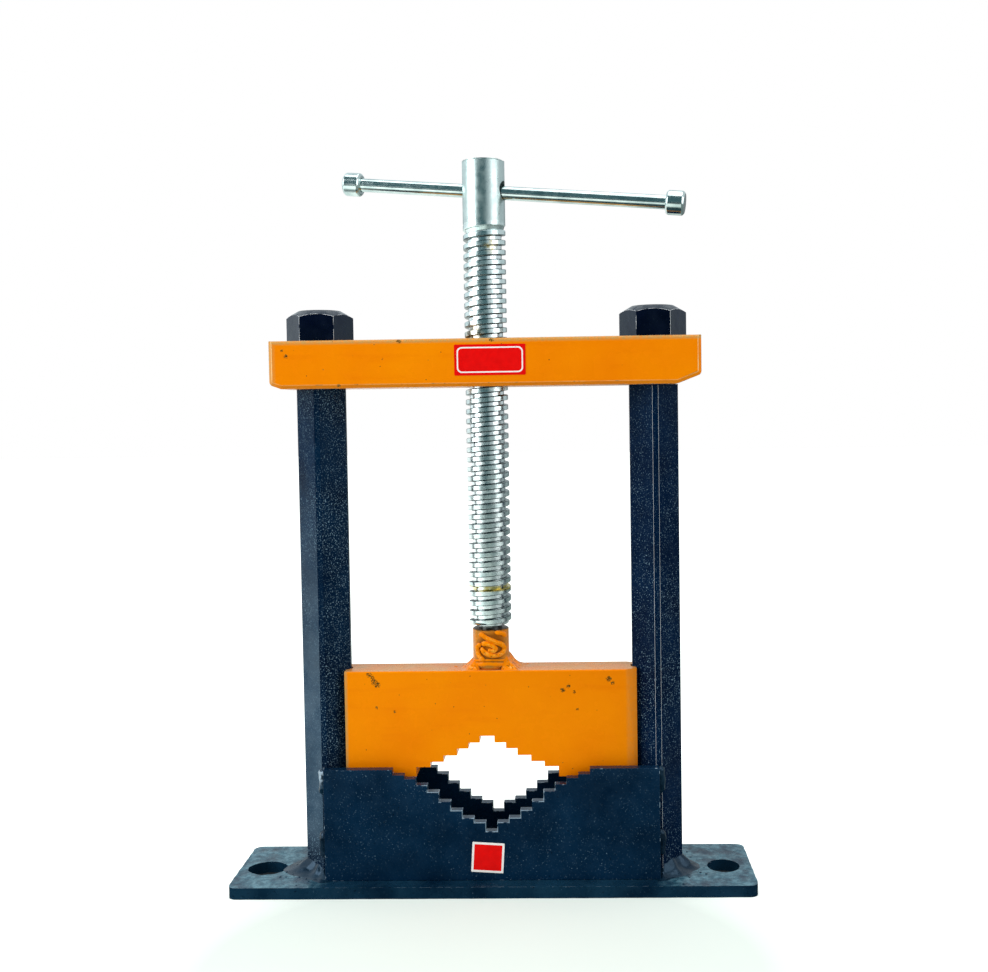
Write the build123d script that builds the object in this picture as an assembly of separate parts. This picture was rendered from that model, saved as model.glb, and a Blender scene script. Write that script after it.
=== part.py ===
"""Bench pipe vise with a fixed yoke, a stepped lower V and a screw-driven upper jaw.

Millimetres. The origin is on the base plate's underside, below the screw and
midway between the bench-bolt holes. +X runs along the base, +Y is the back, +Z is up.
"""

import math
import os

from build123d import *

# Base plate, a flat bar with one bench-bolt hole between each post and the end
base_depth = 57.0
base_set_back = 2.4
base_thickness = 6.0
base_corner_radius = 3.5
base_edge_break = 0.6
hole_diameter = 17.0
hole_beyond_post = 34.3
hole_end_margin = 15.0

# Posts, square bars set cornerwise and turned down to a stud at the top
post_spacing = 173.4
post_square = 20.0
post_corner_flat = 3.0
post_length = 254.5
stud_diameter = 20.0
stud_end_chamfer = 1.5
stud_short_of_nut = 1.0
quarter = 90.0
cornerwise = quarter / 2

# Lower jaw plates, one against the front corners of the posts and one behind
plate_height = 58.0
plate_thickness = 5.0
plate_edge_break = 0.4
lower_v_depth = 32.4
lower_v_half_width = 50.9
rear_v_offset = 1.7
# Riser places as shares of the half width, and ledge depths as shares of the depth
lower_riser_shares = (0.057, 0.175, 0.293, 0.411, 0.528, 0.646, 0.764, 0.882, 1.0)
lower_ledge_shares = (1.0, 0.855, 0.784, 0.660, 0.519, 0.361, 0.250, 0.151, 0.090)

# Crossbar, held down on the post shoulders by the nuts
bar_beyond_post = 23.3
bar_depth = 35.0
bar_height = 24.5
bar_lower_edge_bevel = 1.8
bar_upper_edge_radius = 1.6
bar_left_bevel_length = 6.0
bar_left_bevel_height = 2.2
bar_right_bevel_length = 12.0
bar_right_bevel_height = 4.6
bar_bevel_rounding = 2.4
stud_hole_clearance = 0.5
screw_bore_clearance = 0.1

# Hexagon nuts
nut_across_flats = 30.0
nut_height = 16.0
nut_land_diameter = 22.0
nut_bevel_angle = 30.0
nut_bore_clearance = 0.1
nut_turns = {"nut_left": 5.0, "nut_right": -3.0}

# Upper jaw, a thick flat whose grooved ends ride on the inner corners of the posts
jaw_short_of_post = 10.7
jaw_height = 65.0
jaw_thickness = 20.0
jaw_top_at_rest = 113.4
jaw_guide_clearance = 0.8
jaw_edge_radius = 1.0
jaw_corner_bevel_width = 6.0
jaw_corner_bevel_depth = 3.0
upper_v_depth = 30.8
upper_v_half_width = 50.0
upper_v_offset = -2.2
# Riser places and ledge drops below the apex, as shares of the same two sizes
upper_riser_shares = (0.076, 0.196, 0.314, 0.456, 0.594, 0.744, 0.872, 1.0)
upper_ledge_shares = (0.0, 0.114, 0.214, 0.331, 0.438, 0.526, 0.698, 0.854)

# Boss on the jaw, in which the lower end of the screw turns
boss_diameter = 19.0
boss_height = 20.9
boss_foot_chamfer = 1.6
boss_rim_chamfer = 0.5
neck_diameter = 12.0
neck_clearance = 0.1
thrust_gap = 0.1
pin_diameter = 4.0
pin_height_share = 0.58
groove_depth = 1.5
groove_side_clearance = 0.3
pin_tip_clearance = 0.3
pin_fit_clearance = 0.05

# Screw, with a plain head that carries the sliding handle
screw_diameter = 22.0
thread_pitch = 5.0
thread_above_boss = 2.1
thread_end_chamfer = 1.2
thread_turns = 41
head_length = 35.5
head_top_chamfer = 0.8
handle_hole_diameter = 10.0
handle_below_top = 15.6

# Handle, at rest slid towards the right and drooping in its hole
handle_rod_diameter = 7.0
handle_between_knobs = 162.7
handle_left_share = 0.414
handle_turn = 11.8
handle_droop = 6.3
knob_diameter = 12.2
knob_length = 9.3
knob_socket_depth = 7.0
knob_socket_clearance = 0.05
knob_chamfer = 1.0

# Weld beads
post_weld_leg = 6.0
tack_radius = 3.0
tack_end_bevel = 1.5
tack_length = 14.0
lower_tack_height = 11.0
boss_weld_width = 6.5
boss_weld_height = 5.5
boss_weld_half_length = 7.0
pin_weld_diameter = 12.0
pin_weld_crown = 1.6

# Overrun of every cut past the face that it leaves
overrun = 1.0

# Sizes and places worked out from the sizes above
hole_spacing = post_spacing + 2 * hole_beyond_post
base_length = hole_spacing + 2 * hole_end_margin
bar_length = post_spacing + 2 * bar_beyond_post
jaw_width = post_spacing - 2 * jaw_short_of_post
base_top = base_thickness
plate_top = base_top + plate_height
shoulder = base_top + post_length
bar_top = shoulder + bar_height
nut_top = bar_top + nut_height
post_x = post_spacing / 2
post_half_diagonal = (post_square * math.sqrt(2) - post_corner_flat) / 2
jaw_bottom = jaw_top_at_rest - jaw_height
upper_apex = jaw_bottom + upper_v_depth
boss_top = jaw_top_at_rest + boss_height
pin_z = jaw_top_at_rest + boss_height * pin_height_share
neck_bottom = jaw_top_at_rest + thrust_gap
thread_bottom = boss_top + thread_above_boss
head_bottom = thread_bottom + thread_turns * thread_pitch
head_top = head_bottom + head_length
handle_z = head_top - handle_below_top
handle_left_reach = handle_between_knobs * handle_left_share
handle_right_reach = handle_between_knobs - handle_left_reach


def upright(shape, depth, back):
    """Stand an outline drawn in X and Z on the front view and thicken it towards +Y."""
    return Pos(0, back, 0) * extrude(Plane.XZ * shape, depth)


def notched_outline(steps, v_middle, corners):
    """A plate from above or below: its V steps about their own middle, then its corners."""
    right = [(v_middle + x, z) for x, z in steps] + corners
    left = [(v_middle - x, z) for x, z in steps] + [(-x, z) for x, z in corners]
    return make_face(Polyline(*right, *reversed(left), close=True))


def staircase(risers, levels):
    """Points of a flight of steps: each level is held up to its riser."""
    points = []
    for i, (x, z) in enumerate(zip(risers, levels)):
        points.append((x, z))
        if i + 1 < len(levels):
            points.append((x, levels[i + 1]))
    return points


def rod_from_base(diameter, length):
    return Cylinder(diameter / 2, length, align=(Align.CENTER, Align.CENTER, Align.MIN))


def post_outline(margin=0.0):
    square = Rectangle(post_square, post_square)
    barred = chamfer(square.vertices(), post_corner_flat / math.sqrt(2))
    turned = Rot(0, 0, cornerwise) * barred
    return offset(turned, margin, kind=Kind.INTERSECTION) if margin else turned


def make_base_plate():
    outline = Pos(0, base_set_back, 0) * Rectangle(base_length, base_depth)
    plate = extrude(outline, base_thickness)
    plate = fillet(plate.edges().filter_by(Axis.Z), base_corner_radius)
    top_rim = plate.faces().sort_by(Axis.Z)[-1].edges()
    plate = chamfer(top_rim, base_edge_break)
    drill = Pos(0, 0, base_thickness / 2) * Cylinder(
        hole_diameter / 2, base_thickness + 2 * overrun
    )
    for side in (-1, 1):
        plate -= Pos(side * hole_spacing / 2, 0, 0) * drill
    return plate


def make_post(x):
    bar = extrude(post_outline(), post_length)
    stud_length = bar_height + nut_height - stud_short_of_nut
    stud = rod_from_base(stud_diameter, stud_length)
    stud = chamfer(stud.edges().sort_by(Axis.Z)[-1], stud_end_chamfer)
    return Pos(x, 0, base_top) * (bar + Pos(0, 0, post_length) * stud)


def lower_plate_outline(v_middle):
    risers = [share * lower_v_half_width for share in lower_riser_shares]
    ledges = [plate_top - share * lower_v_depth for share in lower_ledge_shares]
    steps = staircase(risers, ledges + [plate_top])
    return notched_outline(steps, v_middle, [(post_x, plate_top), (post_x, base_top)])


def make_jaw_plate(front_face, v_middle):
    plate = upright(lower_plate_outline(v_middle), -plate_thickness, front_face)
    rims = plate.edges().filter_by(Axis.Y).group_by(Axis.Z)[-1]
    ends = rims.sort_by(Axis.X)
    return fillet([ends[0], ends[-1]], plate_edge_break)


def make_crossbar():
    half = bar_length / 2
    right = [(half, bar_top), (half, shoulder + bar_right_bevel_height)]
    right.append((half - bar_right_bevel_length, shoulder))
    left = [(bar_left_bevel_length - half, shoulder)]
    left.append((-half, shoulder + bar_left_bevel_height))
    left.append((-half, bar_top))
    outline = make_face(Polyline(*right, *left, close=True))
    bevel_ends = outline.vertices().sort_by(Axis.Y)[:4]
    outline = fillet(bevel_ends, bar_bevel_rounding)
    bar = upright(outline, -bar_depth, -bar_depth / 2)
    long_edges = bar.edges().filter_by(Axis.X).group_by(Axis.Z)
    bar = chamfer(long_edges[0], bar_lower_edge_bevel)
    top_edges = bar.faces().sort_by(Axis.Z)[-1].edges().filter_by(Axis.X)
    bar = fillet(top_edges, bar_upper_edge_radius)
    through = bar_height + 2 * overrun
    middle = shoulder + bar_height / 2
    stud_hole = Cylinder(stud_diameter / 2 + stud_hole_clearance, through)
    for side in (-1, 1):
        bar -= Pos(side * post_x, 0, middle) * stud_hole
    bore = Cylinder(screw_diameter / 2 + screw_bore_clearance, through)
    return bar - Pos(0, 0, middle) * bore


def make_nut(x, turn):
    hexagon = RegularPolygon(nut_across_flats / 2, 6, major_radius=False)
    prism = extrude(hexagon, nut_height)
    rim = nut_across_flats
    land = nut_land_diameter / 2
    drop = (rim - land) * math.tan(math.radians(nut_bevel_angle))
    cone = revolve(
        Plane.XZ
        * make_face(
            Polyline(
                (0, nut_height),
                (land, nut_height),
                (rim, nut_height - drop),
                (rim, 0),
                (0, 0),
                close=True,
            )
        ),
        Axis.Z,
    )
    nut = prism & cone
    nut -= Pos(0, 0, nut_height / 2) * Cylinder(
        stud_diameter / 2 + nut_bore_clearance, nut_height + 2 * overrun
    )
    return Pos(x, 0, bar_top) * Rot(0, 0, turn) * nut


def upper_jaw_outline():
    risers = [share * upper_v_half_width for share in upper_riser_shares]
    ledges = [upper_apex - share * upper_v_depth for share in upper_ledge_shares]
    steps = staircase(risers, ledges + [jaw_bottom])
    half = jaw_width / 2
    corners = [(half, jaw_bottom), (half, jaw_top_at_rest)]
    return notched_outline(steps, upper_v_offset, corners)


def make_upper_jaw():
    jaw = upright(upper_jaw_outline(), -jaw_thickness, -jaw_thickness / 2)
    rims = jaw.edges().filter_by(Axis.X).group_by(Axis.Z)[-1]
    jaw = fillet(rims, jaw_edge_radius)
    guide_height = jaw_height + 2 * overrun
    guide = extrude(post_outline(jaw_guide_clearance), guide_height)
    for side in (-1, 1):
        jaw -= Pos(side * post_x, 0, jaw_bottom - overrun) * guide
    end = jaw_width / 2
    face = jaw_thickness / 2
    bevel = make_face(
        Polyline(
            (end - jaw_corner_bevel_width, -face),
            (end, jaw_corner_bevel_depth - face),
            (end + overrun, jaw_corner_bevel_depth - face),
            (end + overrun, -face - overrun),
            (end - jaw_corner_bevel_width, -face - overrun),
            close=True,
        )
    )
    cut = Pos(0, 0, jaw_bottom - overrun) * extrude(bevel, guide_height)
    return jaw - cut - mirror(cut, Plane.XZ)


def towards_front(shape):
    """Turn a shape that stands on the screw's axis towards the front, at pin height."""
    return Pos(0, 0, pin_z) * Rot(quarter, 0, 0) * shape


def solid_boss():
    boss = rod_from_base(boss_diameter, boss_height)
    rings = boss.edges().filter_by(GeomType.CIRCLE).sort_by(Axis.Z)
    boss = chamfer(rings[0], boss_foot_chamfer)
    rings = boss.edges().filter_by(GeomType.CIRCLE).sort_by(Axis.Z)
    return Pos(0, 0, jaw_top_at_rest) * chamfer(rings[-1], boss_rim_chamfer)


def make_jaw_boss():
    bore = rod_from_base(neck_diameter + 2 * neck_clearance, boss_height + 2 * overrun)
    pin_hole = rod_from_base(pin_diameter + 2 * pin_fit_clearance, boss_diameter)
    boss = solid_boss() - Pos(0, 0, jaw_top_at_rest - overrun) * bore
    return boss - towards_front(pin_hole)


def make_swivel_pin():
    groove_floor = neck_diameter / 2 - groove_depth
    inside = Cylinder(groove_floor + pin_tip_clearance, boss_height)
    outside = Cylinder(boss_diameter / 2, boss_height)
    pin = towards_front(rod_from_base(pin_diameter, boss_diameter))
    return pin & Pos(0, 0, pin_z) * (outside - inside)


def make_pin_weld():
    """A low crowned pad over the outer end of the pin, on the front of the boss."""
    ball_radius = pin_weld_diameter
    ball_middle = ball_radius - boss_diameter / 2 - pin_weld_crown
    ball = Pos(0, ball_middle, pin_z) * Sphere(ball_radius)
    disc = towards_front(rod_from_base(pin_weld_diameter, boss_diameter))
    boss_body = Pos(0, 0, pin_z) * Cylinder(boss_diameter / 2, boss_diameter)
    return (disc & ball) - boss_body


def make_boss_weld(side):
    """A fillet of weld between the boss and the top of the jaw, at one side."""
    radius = boss_diameter / 2
    profile = make_face(
        Polyline(
            (0, 0),
            (radius + boss_weld_width, 0),
            (radius, boss_weld_height),
            (0, boss_weld_height),
            close=True,
        )
    )
    ring = Pos(0, 0, jaw_top_at_rest) * revolve(Plane.XZ * profile, Axis.Z)
    reach = radius + boss_weld_width
    keep = Pos(side * reach / 2, 0, jaw_top_at_rest) * Box(
        reach, 2 * boss_weld_half_length, 2 * boss_weld_height
    )
    return (ring & keep) - solid_boss()


def make_screw():
    radius = screw_diameter / 2
    neck = neck_diameter / 2
    half_groove = pin_diameter / 2 + groove_side_clearance
    profile = make_face(
        Polyline(
            (0, neck_bottom),
            (neck, neck_bottom),
            (neck, pin_z - half_groove),
            (neck - groove_depth, pin_z - half_groove),
            (neck - groove_depth, pin_z + half_groove),
            (neck, pin_z + half_groove),
            (neck, thread_bottom),
            (radius - thread_end_chamfer, thread_bottom),
            (radius, thread_bottom + thread_end_chamfer),
            (radius, head_top - head_top_chamfer),
            (radius - head_top_chamfer, head_top),
            (0, head_top),
            close=True,
        )
    )
    screw = revolve(Plane.XZ * profile, Axis.Z)
    hole = Cylinder(handle_hole_diameter / 2, screw_diameter + 2 * overrun)
    across = Rot(0, 0, -handle_turn) * Rot(0, quarter, 0) * hole
    return screw - Pos(0, 0, handle_z) * across


def along_handle(reach, side, shape):
    """Lay a shape that stands on the screw's axis along the handle, outward from a reach."""
    place = Pos(0, 0, handle_z) * Rot(0, 0, -handle_turn) * Rot(0, handle_droop, 0)
    return place * Pos(reach, 0, 0) * Rot(0, side * quarter, 0) * shape


def make_handle_rod():
    length = handle_between_knobs + 2 * knob_socket_depth
    rod = rod_from_base(handle_rod_diameter, length)
    return along_handle(-handle_left_reach - knob_socket_depth, 1, rod)


def make_handle_knob(side):
    knob = rod_from_base(knob_diameter, knob_length)
    knob = chamfer(knob.edges().filter_by(GeomType.CIRCLE), knob_chamfer)
    knob -= Cylinder(
        handle_rod_diameter / 2 + knob_socket_clearance, 2 * knob_socket_depth
    )
    reach = handle_right_reach if side > 0 else -handle_left_reach
    return along_handle(reach, side, knob)


def make_post_weld(side):
    """The fillet round the outer corner of a post's foot, clear of the jaw plates."""
    skirt = extrude(post_outline(post_weld_leg), post_weld_leg, taper=cornerwise)
    skirt -= extrude(post_outline(), post_weld_leg)
    reach = post_half_diagonal + 2 * post_weld_leg
    keep = Pos(side * reach / 2, 0, post_weld_leg / 2) * Box(
        reach, 2 * reach, 2 * post_weld_leg
    )
    return Pos(side * post_x, 0, base_top) * (skirt & keep)


def make_plate_tacks(y_side):
    """Four short beads along the ends of a jaw plate, against the posts."""
    seat = y_side * post_half_diagonal
    post_block = extrude(post_outline(), post_length)
    beads = []
    for x_side in (-1, 1):
        for low in (lower_tack_height, plate_height - tack_length):
            bar = rod_from_base(2 * tack_radius, tack_length)
            bar = chamfer(bar.edges().filter_by(GeomType.CIRCLE), tack_end_bevel)
            bar = Pos(x_side * post_x, seat, base_top + low) * bar
            plate_side = Pos(0, seat, base_top + plate_height / 2) * Box(
                post_spacing, 2 * plate_thickness, 2 * plate_height
            )
            bar -= plate_side
            bar -= Pos(x_side * post_x, 0, base_top) * post_block
            beads.append(bar)
    return Compound(children=[solid for bead in beads for solid in bead.solids()])


def make_parts():
    front = -post_half_diagonal - plate_thickness
    parts = {
        "base_plate": make_base_plate(),
        "front_jaw_plate": make_jaw_plate(front, 0),
        "rear_jaw_plate": make_jaw_plate(post_half_diagonal, rear_v_offset),
        "crossbar": make_crossbar(),
        "upper_jaw": make_upper_jaw(),
        "jaw_boss": make_jaw_boss(),
        "swivel_pin": make_swivel_pin(),
        "pin_weld": make_pin_weld(),
        "screw": make_screw(),
        "handle_rod": make_handle_rod(),
        "front_plate_tacks": make_plate_tacks(-1),
        "rear_plate_tacks": make_plate_tacks(1),
    }
    for name, side in (("left", -1), ("right", 1)):
        parts["post_" + name] = make_post(side * post_x)
        parts["nut_" + name] = make_nut(side * post_x, nut_turns["nut_" + name])
        parts["post_weld_" + name] = make_post_weld(side)
        parts["boss_weld_" + name] = make_boss_weld(side)
        parts["handle_knob_" + name] = make_handle_knob(side)
    return parts


os.makedirs("parts", exist_ok=True)
for node, shape in make_parts().items():
    export_step(shape, f"parts/{node}.step")
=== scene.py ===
"""Looks of a bench pipe vise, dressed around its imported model. Metres, +Z up, front at -Y."""

import math
import random

import bmesh
import bpy
from mathutils import Matrix, Vector, noise


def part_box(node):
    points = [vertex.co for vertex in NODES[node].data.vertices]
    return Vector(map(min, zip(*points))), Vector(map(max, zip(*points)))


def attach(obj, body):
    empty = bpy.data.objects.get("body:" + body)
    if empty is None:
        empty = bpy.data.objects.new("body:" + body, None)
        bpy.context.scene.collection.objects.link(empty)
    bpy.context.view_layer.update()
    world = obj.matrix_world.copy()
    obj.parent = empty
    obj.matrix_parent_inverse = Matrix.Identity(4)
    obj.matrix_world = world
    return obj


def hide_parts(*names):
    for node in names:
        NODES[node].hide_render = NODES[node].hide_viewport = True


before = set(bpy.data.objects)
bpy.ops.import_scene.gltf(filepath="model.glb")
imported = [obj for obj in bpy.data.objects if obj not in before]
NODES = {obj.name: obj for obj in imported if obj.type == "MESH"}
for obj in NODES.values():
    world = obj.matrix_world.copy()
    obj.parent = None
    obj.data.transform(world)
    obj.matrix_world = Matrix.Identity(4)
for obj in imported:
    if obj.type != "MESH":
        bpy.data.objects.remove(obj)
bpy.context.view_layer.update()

MM = 0.001
SCENE = bpy.context.scene
Z_AXIS = Vector((0, 0, 1))
SHARP_ANGLE = math.radians(33)
FLAT_ANGLE = math.radians(0.5)
CUT_TOLERANCE = 1e-7
LEVEL_TOLERANCE = 1e-6
LEAST_DIVISOR = 1e-6

# Camera, fitted to the photograph: place in metres, turns in degrees, lens in pixels
IMAGE_WIDTH = 988
IMAGE_HEIGHT = 972
CAMERA_PLACE = Vector((0.0420, -0.6025, 0.2483))
CAMERA_YAW = math.radians(-1.322)
CAMERA_DOWN = math.radians(2.42)
CAMERA_ROLL = math.radians(0.839)
FOCAL_PIXELS = 1154.26
CENTRE_PIXEL = (541.66, 458.27)
SENSOR_WIDTH = 36.0

# Lamps: name, place, width and height in metres, and power
LAMPS = (
    ("key_left", (-1.1, -0.5, 0.7), (0.9, 1.1), 12), ("fill_right", (1.2, -0.6, 0.6), (0.9, 1.1), 5.5),
    ("top", (0.1, -0.1, 1.4), (1.0, 1.0), 7),
)
LAMP_TARGET = Vector((0, 0, 0.18))
FLOOR_REACH = 6.0

# Screen colours of the rubbed edges, painted as a highlight (slate, silver) and as a shade line (shade)
SLATE, SILVER, SHADE = (128, 150, 166), (246, 250, 255), (4, 6, 28)
# Navy paints: dark and light screen colour, gloss, noise level from which a grain gets a painted glint,
# height of the orange peel in millimetres, noise level from which an edge is rubbed and painted
# lighter (darker on the left post), its colour, treatment
NAVY_PAINTS = {
    "paint_navy": ((6, 30, 50), (15, 44, 69), 0.3, 0.66, 0.12, 0.58, SLATE, "plate"),
    "paint_navy_left": ((2, 22, 42), (8, 36, 60), 0.05, 0.57, 0.14, 0.24, SHADE, "left post"),
    "paint_navy_right": ((2, 22, 44), (6, 32, 58), 0.05, 0.60, 0.14, 0.24, SILVER, "right post"),
    "paint_navy_thick": ((0, 0, 18), (0, 8, 34), 0.36, 0.72, 0.20, 0.42, SILVER, "plain"),
    "paint_navy_base": ((8, 30, 48), (24, 54, 74), 0.3, 0.70, 0.5, 0.48, SLATE, "base"),
    "paint_navy_weld": ((4, 20, 34), (16, 42, 58), 0.5, 0.74, 0.06, 0.5, SLATE, "weld"),
}
# Chips in millimetres: across from the left end, or from the right end where negative, down
# from the top, or up from the bottom where negative, and the reach of the chip
CHIPS = {
    "upper_jaw": (
        (13.0, 1.6, 2.2), (14.6, 3.2, 1.8), (15.6, 5.4, 2.6), (17.2, 7.0, 2.4), (16.6, 19, 1.2),
        (26.0, 21, 1.3), (-14.6, 4.8, 2.4), (-12.6, 7.0, 1.6), (-35.5, 8.4, 1.8), (-38.5, 10.4, 1.9),
        (-32.5, 11.6, 1.4), (-31.0, 20.5, 1.2),
    ),
    "crossbar": ((67, 1.0, 2.0), (9.0, 8.0, 1.8), (7.2, 5.0, 1.2), (36, -1.0, 1.8), (-106, 1.0, 1.8)),
}
# Old grease on the thread, by its distance below the screw's top
SMEAR_DOWN = 44 * MM
PATCH_DOWN = 90 * MM
RING_DOWN = 221 * MM
# Distances below the screw's top at which its head's colour ends and the painted shade on the thread's
# flanks starts
HEAD_COLOR_ENDS = (34 * MM, 31 * MM)
THREAD_SHADE_ENDS = (38 * MM, 36 * MM)

# Pieces that keep their node's shape: body, material, bevel of the edges in millimetres, nodes
DRESSED = (
    ("frame", "paint_navy_left", 0.5, ("post_left",)), ("frame", "paint_navy_right", 1.1, ("post_right",)),
    ("frame", "paint_navy", 0.33, ("front_jaw_plate", "rear_jaw_plate")),
    ("frame", "paint_navy_thick", 0.4, ("nut_left", "nut_right")),
    ("frame", "paint_orange", 0.45, ("crossbar",)),
    ("jaw", "paint_orange", 0.7, ("upper_jaw",)), ("jaw", "paint_orange", 0.4, ("jaw_boss",)),
    ("handle", "steel_bright", 0.35, ("handle_rod", "handle_knob_left", "handle_knob_right")),
)
# Where long faces are cut across X, in millimetres
LONG_FACE_CUTS = {"crossbar": (-98, -60, -20, 20, 60, 92)}
JOIN_DISTANCE = 0.002 * MM

# Base plate: rounded corners, uneven flame-cut ends, a drilled hole and a torn one
BASE_CORNER = 4.5 * MM
BASE_CORNER_STEPS = 6
BASE_UNEVENNESS = 0.35 * MM
BASE_ROUGH_END = 6 * MM
BASE_OUTLINE_STEP = 3 * MM
BASE_HOLE_MARGIN = 15.0 * MM
BASE_HOLE_RADIUS = 8.5 * MM
BASE_TEAR = 1.9 * MM
BASE_BEVEL = 0.6 * MM
BASE_EDGE_KEPT = 2 * MM

# Square thread of the screw
THREAD_PITCH = 5.0 * MM
THREAD_DEPTH = 2.1 * MM
THREAD_TURNS = 41
THREAD_ABOVE_BOSS = 2.1 * MM
THREAD_COLUMNS = 56
# Share of a pitch, how much of the depth is cut away there, and the painted shade of the strip that starts
THREAD_PROFILE = (
    (0.0, 1.0, 1), (0.05, 1.0, 0), (0.21, 1.0, 0), (0.37, 1.0, 1), (0.42, 1.0, 0.8), (0.45, 0.14, 1),
    (0.50, 0.0, 0), (0.64, 0.0, 0), (0.78, 0.0, 0), (0.92, 0.0, 1), (0.97, 0.14, 0.8),
)
THREAD_RUN_OUT = 7.0 * MM
THREAD_INTO_HEAD = 3.5 * MM
THREAD_END_CHAMFER = 1.2 * MM
SCREW_RIM_BEVEL = 0.8 * MM
HANDLE_BELOW_TOP = 15.6 * MM
HANDLE_HOLE_RADIUS = 5.0 * MM
HANDLE_TURN = math.radians(-11.8)
NECK_RADIUS = 6.0 * MM
NECK_GROOVE_RADIUS = 4.5 * MM
NECK_GROOVE_SPARE = 0.3 * MM
NECK_INTO_THREAD = 0.5 * MM
ROUND_COLUMNS = 48

# Posts are square bars set cornerwise, with narrow flats on their corners
POST_REACH = 14.14 * MM
POST_FLAT_REACH = 12.64 * MM

# Tacks of the jaw plates
TACK_VOXEL = 0.4 * MM
TACK_LUMP = 0.7 * MM
TACK_SWELL = 0.15 * MM
# Fillets of weld round a post's foot and beside the boss, with the drops of spatter about them
SKIRT_COLUMNS = 56
SKIRT_STEPS = 12
SKIRT_SUNK_IN = 0.5 * MM
SKIRT_SUNK_UNDER = 0.4 * MM
# Millimetres: side, direction, rise, and how much further it runs straight outwards
FOOT_WELDS = (("left", math.pi, 6.4, 6.0), ("right", 0.0, 7.2, 2.0))
FOOT_LEG = 7.0
FOOT_SPAN = math.radians(96)
FOOT_LUMP = 0.85 * MM
FOOT_DROPS = 26
# Millimetres: side, direction, rise, and how far it runs out on the jaw
BOSS_WELDS = (("left", math.pi, 5.6, 6.8), ("right", 0.0, 7.8, 8.2))
BOSS_LEAST_LEG = 0.6 * MM
BOSS_SPAN = math.radians(54)
BOSS_LUMP = 0.5 * MM
BOSS_DROPS = 12
JAW_EDGE_KEPT = 0.5 * MM

# The weld on the boss in millimetres: across from the middle, and down from the boss's top
SWIRL_STRANDS = (
    ((-5.4, 1.6), (-3.9, 2.5), (-0.6, 4.4), (2.7, 6.0), (6.0, 7.6), (7.2, 9.8), (6.0, 12.0),
     (2.7, 13.1), (-0.6, 12.5), (-3.2, 10.9), (-4.4, 8.8)),
    ((-4.4, 7.0), (-6.4, 8.8), (-6.2, 11.6), (-5.0, 14.1), (-2.8, 15.8)),
    ((-4.2, 7.4), (-2.1, 6.6), (0.8, 7.7), (2.9, 9.6), (1.4, 10.6), (-1.0, 10.0)),
    ((2.6, 0.9), (6.0, 1.7), (8.4, 3.6)),
)
SWIRL_RADIUS = 1.35 * MM
SWIRL_LUMP = 0.22
BEAD_SIDES = 12
SWIRL_ABOVE_BOSS = 0.45 * MM
# The pad under the swirl in the same measures: its middle, half width and half height
PAD_MIDDLE = (0.6, 9.4)
PAD_HALF = (5.6, 3.6)
PAD_RINGS = 6
PAD_COLUMNS = 32
# The runs of weld under it in millimetres: level, radius, how deep in the boss, and seed
UNDER_RUNS = ((5.1, 0.8, 0.0, 9), (3.0, 1.7, 0.9, 4))
RUN_STEPS = 32
RUN_LUMP = 0.14

# Stickers in millimetres: the node that carries it, its middle across and above the node's lowest
# corner, tilt in degrees, width and height, and nested bands of inset, corner and material
STICKERS = {
    "label_bar": ("crossbar", 3.0, 13.4, 0.0, (36.2, 15.7), ((0, 0.6, 0), (1.3, 2.5, 1), (2.0, 2.0, 0))),
    "label_plate": ("front_jaw_plate", -2.2, 12.0, 3.5, (16.6, 15.6), ((0, 0.4, 1), (1.1, 0.2, 0))),
}
STICKER_THICKNESS = 0.12
STICKER_CORNER_STEPS = 5


def high(node):
    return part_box(node)[1]


def new_object(name, data):
    """A new object in the scene."""
    made = bpy.data.objects.new(name, data)
    SCENE.collection.objects.link(made)
    return made


def polar(turn, radius=1.0, height=0.0):
    """A place round the upright axis."""
    return Vector((radius * math.cos(turn), radius * math.sin(turn), height))


def full_turn(columns):
    """Angles evenly round a circle."""
    return [2 * math.pi * i / columns for i in range(columns)]


def make_camera():
    """A camera that looks along +Y, turned by yaw, down and roll, with the photograph's framing."""
    cos_yaw, sin_yaw = math.cos(CAMERA_YAW), math.sin(CAMERA_YAW)
    cos_down, sin_down = math.cos(CAMERA_DOWN), math.sin(CAMERA_DOWN)
    forward = Vector((sin_yaw * cos_down, cos_yaw * cos_down, -sin_down))
    level_right = Vector((cos_yaw, -sin_yaw, 0))
    level_down = forward.cross(level_right)
    cos_roll, sin_roll = math.cos(CAMERA_ROLL), math.sin(CAMERA_ROLL)
    right = cos_roll * level_right + sin_roll * level_down
    down = cos_roll * level_down - sin_roll * level_right
    data = bpy.data.cameras.new("camera")
    data.sensor_fit = "HORIZONTAL"
    data.sensor_width = SENSOR_WIDTH
    data.lens = FOCAL_PIXELS * SENSOR_WIDTH / IMAGE_WIDTH
    data.shift_x = (IMAGE_WIDTH / 2 - CENTRE_PIXEL[0]) / IMAGE_WIDTH
    data.shift_y = (CENTRE_PIXEL[1] - IMAGE_HEIGHT / 2) / IMAGE_WIDTH
    camera = new_object("camera", data)
    turn = Matrix((right, -down, -forward)).transposed().to_4x4()
    camera.matrix_world = Matrix.Translation(CAMERA_PLACE) @ turn
    SCENE.camera = camera


# Materials


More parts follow.
